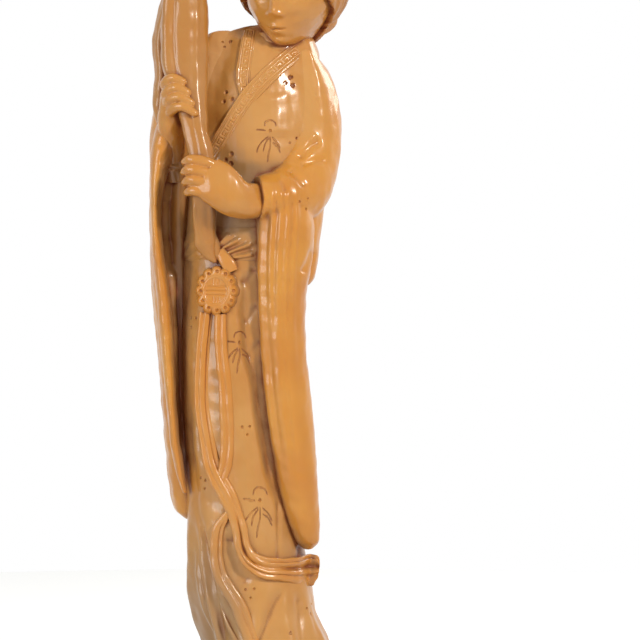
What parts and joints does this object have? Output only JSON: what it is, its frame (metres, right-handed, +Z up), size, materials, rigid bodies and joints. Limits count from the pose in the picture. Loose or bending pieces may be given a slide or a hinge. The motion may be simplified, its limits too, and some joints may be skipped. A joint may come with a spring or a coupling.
{
  "type": "resin figurine",
  "caption": "Slender standing robed lady in glossy amber resin, holding a tall furled leaf by its stem, on an oval wooden plinth.",
  "frame": {"origin": "centre of the underside of the felt on the plinth", "axes": "+Z up along the figure; the lady faces -Y and holds the leaf towards -X"},
  "size_m": [0.084, 0.069, 0.3042],
  "materials": {
    "resin": "glossy amber resin, with darker brown stain rubbed into the carving",
    "plinth_wood": "dark stained hardwood, satin varnish",
    "felt": "dark green baize",
    "steel": "plain steel pin and screw stock",
    "brass": "turned brass"
  },
  "bodies": {
    "root": {"felt_pad": "felt", "plinth": "plinth_wood", "fixing_screw": "steel", "screw_washer": "steel", "threaded_insert": "brass", "foot_pin_left": "steel", "foot_pin_right": "steel", "robe_body": "resin", "waist_sash": "resin", "collar": "resin", "head": "resin", "hair_cap": "resin", "hair_knot": "resin", "hairpin": "resin", "left_hand": "resin", "right_hand": "resin", "lotus_stem": "resin", "leaf_margin": "resin", "left_sleeve": "resin", "right_sleeve": "resin", "medallion": "resin", "belt_tab": "resin", "ribbon_left": "resin", "ribbon_right": "resin", "ribbon_lower": "resin", "neck_pin": "steel", "shoulder_pin_left": "steel", "shoulder_pin_right": "steel", "medallion_pin": "steel", "stem_pin": "steel"}
  },
  "joints": []
}
